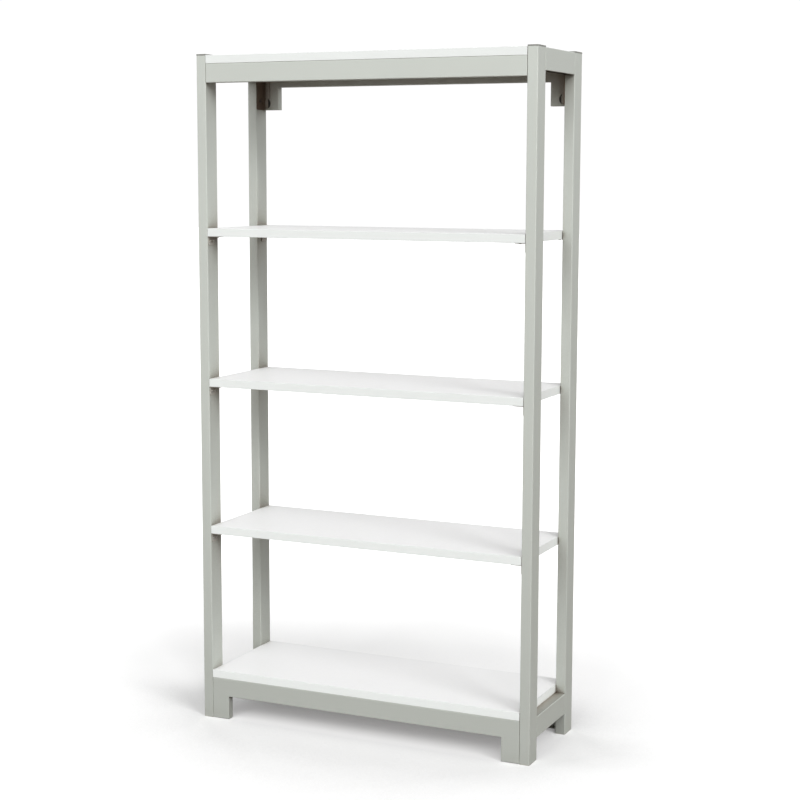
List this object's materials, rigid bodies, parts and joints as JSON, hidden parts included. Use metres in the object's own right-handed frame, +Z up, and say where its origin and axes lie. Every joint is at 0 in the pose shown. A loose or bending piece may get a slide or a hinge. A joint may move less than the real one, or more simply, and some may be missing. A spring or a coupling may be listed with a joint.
{
  "type": "bookcase",
  "caption": "Free-standing open bookcase: rectangular steel posts, folded steel portal rails, melamine-faced boards on folded brackets, and hidden levelling glides.",
  "frame": {"origin": "on the floor under the middle of the bookcase", "axes": "+Z up, the open front faces -Y, +X to the viewer's right when facing the front; the back is +Y"},
  "size_m": [1.117, 0.381, 2.1],
  "materials": {
    "frame_paint": "fine-textured powder coat, light warm grey, satin",
    "cap_plastic": "moulded, matt, a shade darker than the posts",
    "shelf_melamine": "chipboard faced with white melamine, fine pearl grain, satin",
    "edging_plastic": "white edging strip, satin",
    "bracket_paint": "powder coat, light warm grey",
    "corner_plate_paint": "very dark brown, satin",
    "hook_paint": "powder coat, warm grey",
    "liner_rubber": "black, matt",
    "fastener_steel": "zinc plated",
    "screw_black": "black zinc over steel, satin",
    "foot_plastic": "moulded, matt, warm grey",
    "glide_plastic": "black nylon, matt",
    "stud_steel": "zinc plated"
  },
  "bodies": {
    "frame": {"post_front_left": "frame_paint", "post_cap_front_left": "cap_plastic", "foot_plug_front_left": "foot_plastic", "post_front_right": "frame_paint", "post_cap_front_right": "cap_plastic", "foot_plug_front_right": "foot_plastic", "post_rear_left": "frame_paint", "post_cap_rear_left": "cap_plastic", "foot_plug_rear_left": "foot_plastic", "post_rear_right": "frame_paint", "post_cap_rear_right": "cap_plastic", "foot_plug_rear_right": "foot_plastic", "top_front_rail": "frame_paint", "top_rear_rail": "frame_paint", "bottom_front_rail": "frame_paint", "bottom_rear_rail": "frame_paint", "top_side_rail_left": "frame_paint", "top_side_rail_right": "frame_paint", "bottom_side_rail_left": "frame_paint", "bottom_side_rail_right": "frame_paint", "shelf_bottom": "shelf_melamine", "shelf_bottom_edging": "edging_plastic", "shelf_lower": "shelf_melamine", "shelf_lower_edging": "edging_plastic", "shelf_middle": "shelf_melamine", "shelf_middle_edging": "edging_plastic", "shelf_upper": "shelf_melamine", "shelf_upper_edging": "edging_plastic", "shelf_top": "shelf_melamine", "shelf_top_edging": "edging_plastic", "shelf_lower_brackets": "bracket_paint", "shelf_middle_brackets": "bracket_paint", "shelf_upper_brackets": "bracket_paint", "top_rail_screws": "screw_black", "bottom_rail_screws": "screw_black", "top_rivet_nuts": "fastener_steel", "bottom_rivet_nuts": "fastener_steel", "bracket_screws": "fastener_steel", "board_screws": "fastener_steel", "foot_thread_inserts": "fastener_steel", "rear_corner_plate_left": "corner_plate_paint", "rear_hook_left": "hook_paint", "rear_hook_liner_left": "liner_rubber", "rear_corner_plate_right": "corner_plate_paint", "rear_hook_right": "hook_paint", "rear_hook_liner_right": "liner_rubber"},
    "glide_front_left": {"glide_pad_front_left": "glide_plastic"},
    "stud_front_left": {"glide_stud_front_left": "stud_steel"},
    "glide_front_right": {"glide_pad_front_right": "glide_plastic"},
    "stud_front_right": {"glide_stud_front_right": "stud_steel"},
    "glide_rear_left": {"glide_pad_rear_left": "glide_plastic"},
    "stud_rear_left": {"glide_stud_rear_left": "stud_steel"},
    "glide_rear_right": {"glide_pad_rear_right": "glide_plastic"},
    "stud_rear_right": {"glide_stud_rear_right": "stud_steel"}
  },
  "joints": [
    {"name": "glide_travel_front_left", "type": "slide", "parent": "frame", "child": "glide_front_left", "axis": [0, 0, -1], "range_m": [0, 0.012]},
    {"name": "stud_turn_front_left", "type": "hinge", "parent": "glide_front_left", "child": "stud_front_left", "pos_m": [-0.542, -0.158, 0.005], "axis": [0, 0, -1], "range_deg": [0, 3455]},
    {"name": "glide_travel_front_right", "type": "slide", "parent": "frame", "child": "glide_front_right", "axis": [0, 0, -1], "range_m": [0, 0.012]},
    {"name": "stud_turn_front_right", "type": "hinge", "parent": "glide_front_right", "child": "stud_front_right", "pos_m": [0.542, -0.158, 0.005], "axis": [0, 0, -1], "range_deg": [0, 3455]},
    {"name": "glide_travel_rear_left", "type": "slide", "parent": "frame", "child": "glide_rear_left", "axis": [0, 0, -1], "range_m": [0, 0.012]},
    {"name": "stud_turn_rear_left", "type": "hinge", "parent": "glide_rear_left", "child": "stud_rear_left", "pos_m": [-0.542, 0.158, 0.005], "axis": [0, 0, -1], "range_deg": [0, 3455]},
    {"name": "glide_travel_rear_right", "type": "slide", "parent": "frame", "child": "glide_rear_right", "axis": [0, 0, -1], "range_m": [0, 0.012]},
    {"name": "stud_turn_rear_right", "type": "hinge", "parent": "glide_rear_right", "child": "stud_rear_right", "pos_m": [0.542, 0.158, 0.005], "axis": [0, 0, -1], "range_deg": [0, 3455]}
  ],
  "couplings": [
    {"joint": "glide_travel_front_left", "follows": "stud_turn_front_left", "m_per_rad": 0.00019894},
    {"joint": "glide_travel_front_right", "follows": "stud_turn_front_right", "m_per_rad": 0.00019894},
    {"joint": "glide_travel_rear_left", "follows": "stud_turn_rear_left", "m_per_rad": 0.00019894},
    {"joint": "glide_travel_rear_right", "follows": "stud_turn_rear_right", "m_per_rad": 0.00019894}
  ]
}
